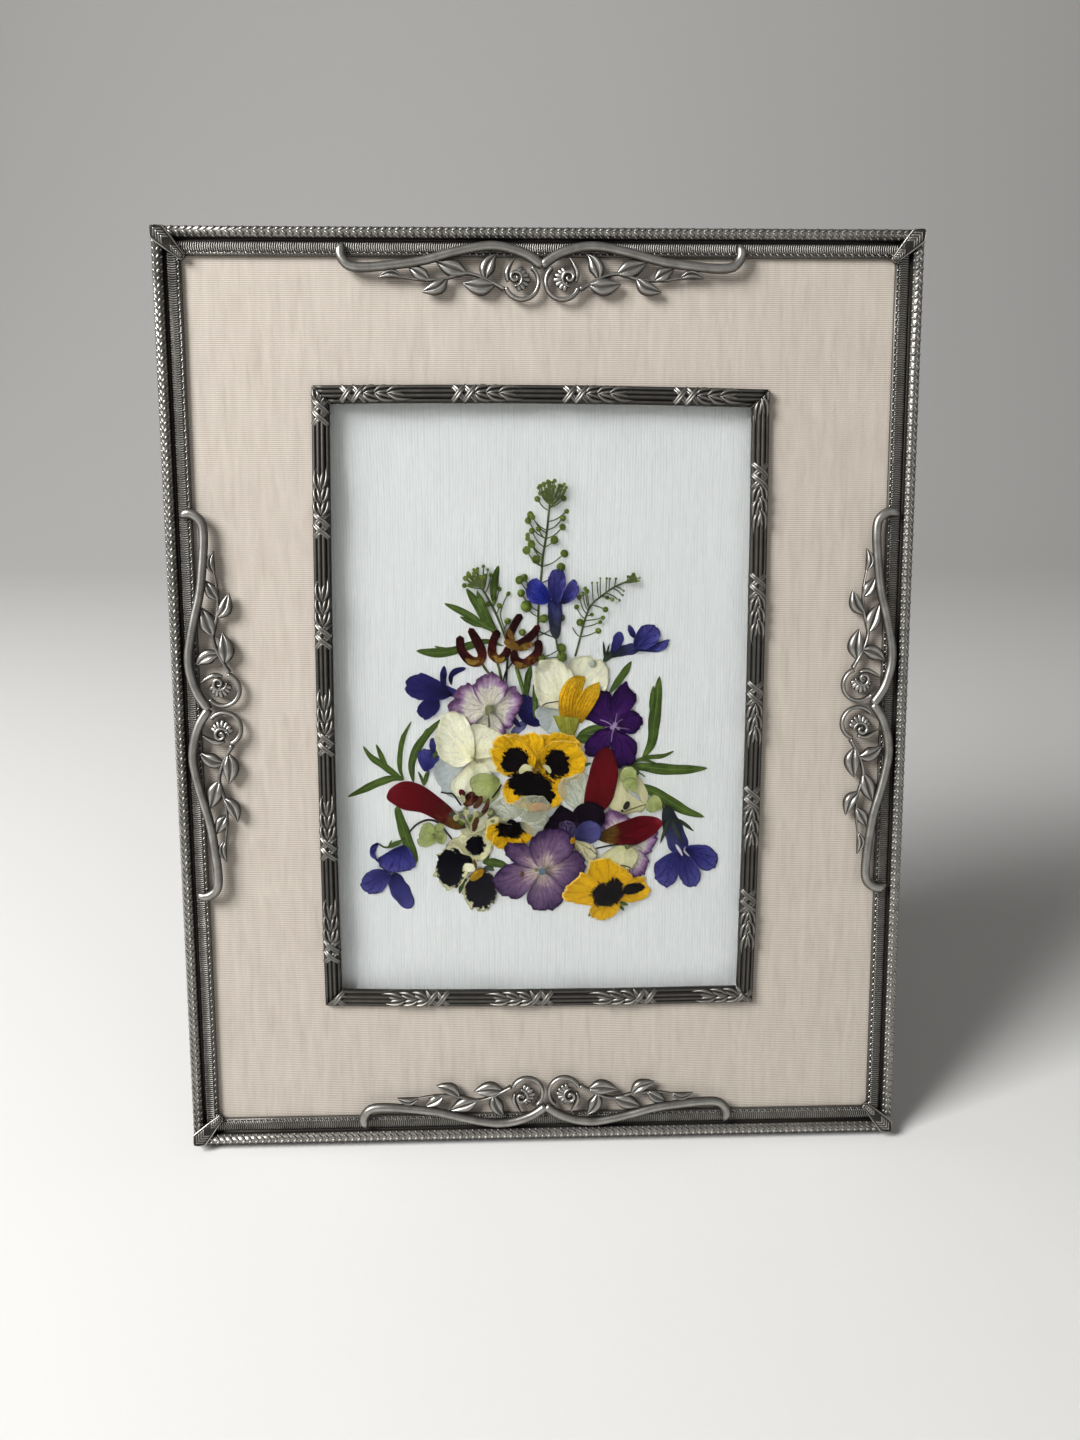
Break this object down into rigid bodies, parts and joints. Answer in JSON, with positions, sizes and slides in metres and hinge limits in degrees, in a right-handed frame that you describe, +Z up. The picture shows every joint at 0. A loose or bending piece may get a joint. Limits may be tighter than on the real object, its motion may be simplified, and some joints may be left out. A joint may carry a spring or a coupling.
{
  "type": "pressed flower frame",
  "caption": "Standing metal picture frame with a fabric mat, a smaller window frame and a bouquet of pressed garden flowers on white card behind glass, held up by a hinged easel strut.",
  "frame": {"origin": "on the ground, in the middle of the box round the standing frame", "axes": "+X to the right seen from the front, +Y back from the viewer, +Z up"},
  "size_m": [0.216, 0.0814, 0.2645],
  "materials": {
    "pewter": "antiqued pewter over cast zinc alloy, worn bright on the high points",
    "steel": "plain rolled steel",
    "moire": "watered ribbed fabric, cream pink",
    "greyboard": "plain pressed board",
    "card": "white laid card, matt",
    "velvet": "black flocked board",
    "pane": "clear float glass",
    "leaf": "dried green leaf",
    "pale_leaf": "thin dried petal, pale green",
    "blue_petal": "dried petal, deep blue",
    "maroon_petal": "dried petal, dark maroon",
    "cream_petal": "dried petal, cream",
    "violet_petal": "dried petal, cream with violet edge",
    "yellow_petal": "dried petal, golden yellow with dark blotches",
    "purple_petal": "dried petal, deep purple",
    "mauve_petal": "dried petal, mauve",
    "red_petal": "dried petal, dark red",
    "black_petal": "dried petal, near black"
  },
  "bodies": {
    "frame": {"outer_rail_bottom": "pewter", "ornament_bottom": "pewter", "window_rail_bottom": "pewter", "outer_rail_right": "pewter", "ornament_right": "pewter", "window_rail_right": "pewter", "outer_rail_top": "pewter", "ornament_top": "pewter", "window_rail_top": "pewter", "outer_rail_left": "pewter", "ornament_left": "pewter", "window_rail_left": "pewter", "corner_cap_bottom_left": "pewter", "corner_cap_bottom_right": "pewter", "corner_cap_top_right": "pewter", "corner_cap_top_left": "pewter", "mat_board": "greyboard", "mat_cover": "moire", "back_board": "velvet", "pane": "pane", "card": "card", "hinge_leaf_frame": "steel", "leaf_spray_left": "leaf", "leaf_spray_right": "leaf", "leaf_lower_left": "leaf", "cress_spray_tall": "leaf", "cress_spray_left": "leaf", "cress_spray_right": "leaf", "lobelia_lower_left": "blue_petal", "lobelia_lower_right": "blue_petal", "lobelia_left": "blue_petal", "lobelia_top": "blue_petal", "lobelia_upper_right": "blue_petal", "lobelia_centre": "blue_petal", "maroon_flower_left": "maroon_petal", "maroon_flower_middle": "maroon_petal", "maroon_flower_tall": "maroon_petal", "maroon_flower_right": "maroon_petal", "hydrangea_violet_edged": "violet_petal", "hydrangea_white": "cream_petal", "hydrangea_cream": "cream_petal", "pale_petals_left": "pale_leaf", "pale_petals_right": "pale_leaf", "green_sepals_left": "leaf", "bud_cluster": "black_petal", "red_petal_left": "red_petal", "purple_flower": "purple_petal", "yellow_bud": "yellow_petal", "hydrangea_pale": "mauve_petal", "red_petal_right": "red_petal", "viola_cream": "cream_petal", "pansy_yellow_small": "yellow_petal", "pansy_yellow_large": "yellow_petal", "pale_petal_middle": "pale_leaf", "red_petal_centre": "red_petal", "viola_dark": "black_petal", "hydrangea_purple": "mauve_petal", "pansy_yellow_lower": "yellow_petal"},
    "strut": {"strut": "velvet", "hinge_leaf_strut": "steel"}
  },
  "joints": [
    {"name": "strut_hinge", "type": "hinge", "parent": "frame", "child": "strut", "pos_m": [0, 0.00608, 0.15605], "axis": [1, 0, 0], "range_deg": [-24, 0]}
  ]
}
